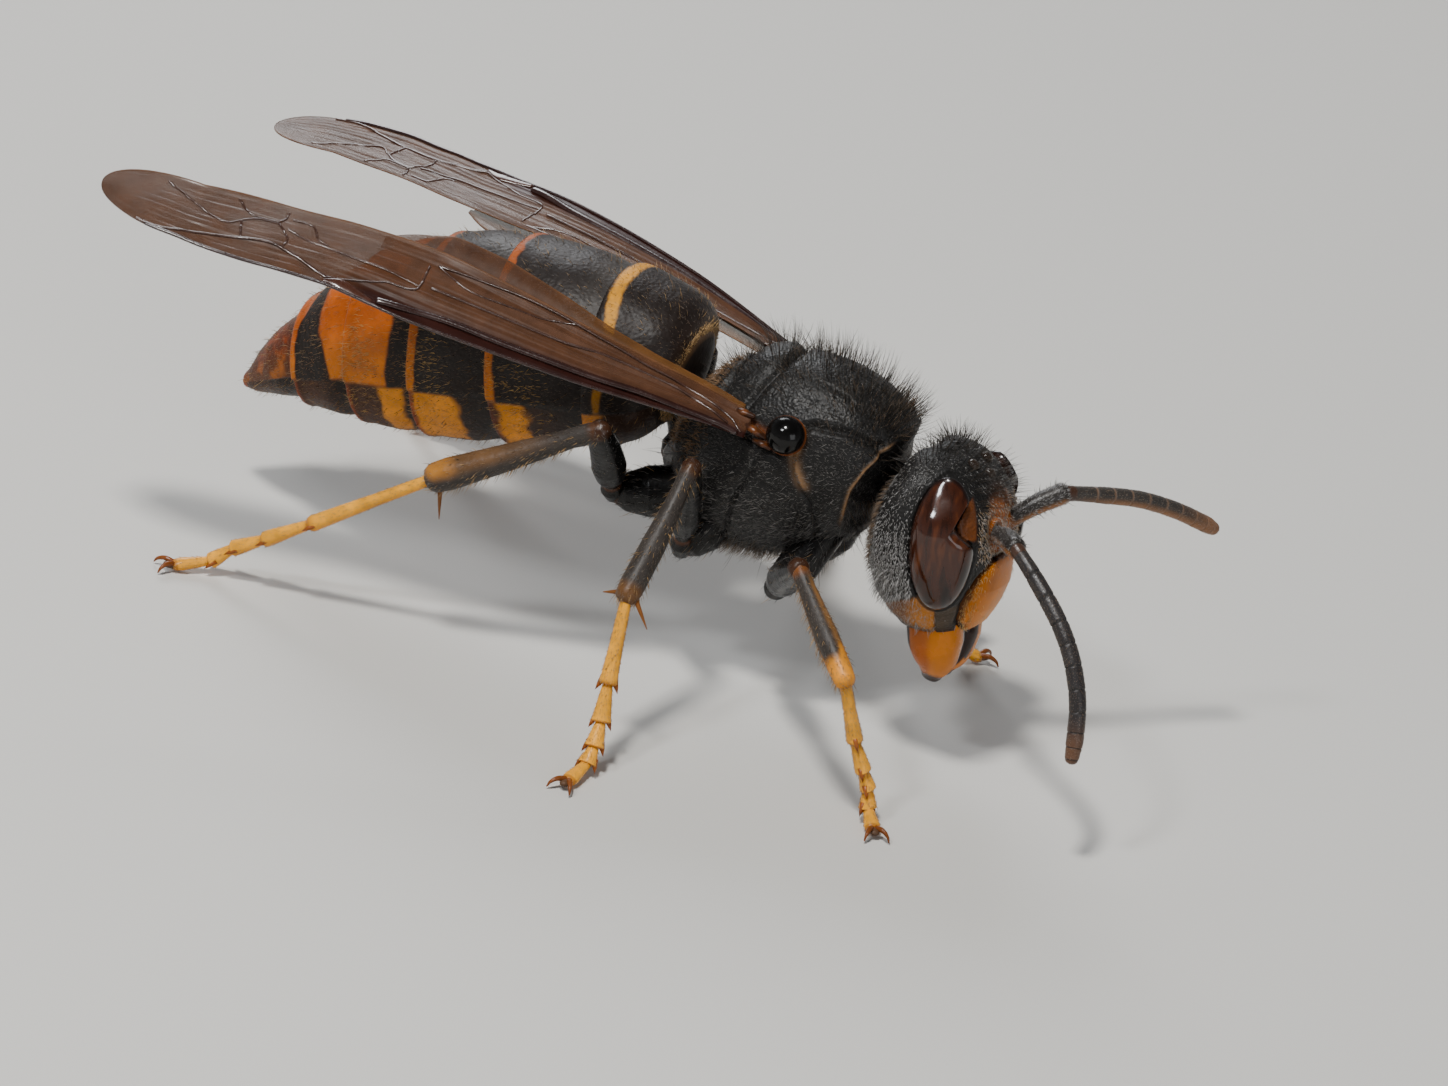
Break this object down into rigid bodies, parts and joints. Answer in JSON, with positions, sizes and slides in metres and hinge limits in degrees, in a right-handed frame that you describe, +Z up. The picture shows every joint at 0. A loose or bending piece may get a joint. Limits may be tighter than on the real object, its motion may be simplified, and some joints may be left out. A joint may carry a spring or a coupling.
{
  "type": "asian hornet",
  "caption": "Life-size still model of an asian hornet standing on its feet, wings folded back over a dark abdomen that ends in orange, for display or study.",
  "frame": {"origin": "on the floor, below the middle of the whole model's box", "axes": "+X towards the head, +Y to the insect's left, +Z up from the floor"},
  "size_m": [0.0316, 0.0218, 0.0116],
  "materials": {
    "head_black": "black cuticle under short silvery hair, orange below",
    "eye_brown": "glossy dark red-brown",
    "face_orange": "glossy orange cuticle, dark at the edges",
    "feeler_grey": "dull grey-black with brown tips",
    "thorax_black": "black cuticle, finely pitted, under short silvery hair",
    "abdomen_brown": "satin brown-black with thin yellow and orange bands",
    "abdomen_orange": "satin orange over a dark base",
    "wing_membrane": "translucent smoky brown with darker veins",
    "leg_black": "glossy black cuticle",
    "tibia_grey": "grey-black with brown ends and golden hair",
    "tarsus_yellow": "satin yellow with brown claws"
  },
  "bodies": {
    "root": {"abdomen_1": "abdomen_brown", "abdomen_2": "abdomen_brown", "abdomen_3": "abdomen_brown", "abdomen_4": "abdomen_orange", "abdomen_5": "abdomen_orange", "abdomen_6": "abdomen_orange", "clypeus": "face_orange", "coxa_front_left": "leg_black", "coxa_front_right": "leg_black", "coxa_hind_left": "leg_black", "coxa_hind_right": "leg_black", "coxa_middle_left": "leg_black", "coxa_middle_right": "leg_black", "eye_left": "eye_brown", "eye_right": "eye_brown", "femur_front_left": "leg_black", "femur_front_right": "leg_black", "femur_hind_left": "leg_black", "femur_hind_right": "leg_black", "femur_middle_left": "leg_black", "femur_middle_right": "leg_black", "flagellum_left": "feeler_grey", "flagellum_right": "feeler_grey", "forewing_left": "wing_membrane", "forewing_right": "wing_membrane", "head": "head_black", "hindwing_left": "wing_membrane", "hindwing_right": "wing_membrane", "mandible_left": "face_orange", "mandible_right": "face_orange", "mesothorax": "thorax_black", "neck": "head_black", "pronotum": "thorax_black", "propodeum": "thorax_black", "scape_left": "feeler_grey", "scape_right": "feeler_grey", "tarsus_front_left": "tarsus_yellow", "tarsus_front_right": "tarsus_yellow", "tarsus_hind_left": "tarsus_yellow", "tarsus_hind_right": "tarsus_yellow", "tarsus_middle_left": "tarsus_yellow", "tarsus_middle_right": "tarsus_yellow", "tegula_left": "thorax_black", "tegula_right": "thorax_black", "tibia_front_left": "tibia_grey", "tibia_front_right": "tibia_grey", "tibia_hind_left": "tibia_grey", "tibia_hind_right": "tibia_grey", "tibia_middle_left": "tibia_grey", "tibia_middle_right": "tibia_grey"}
  },
  "joints": []
}
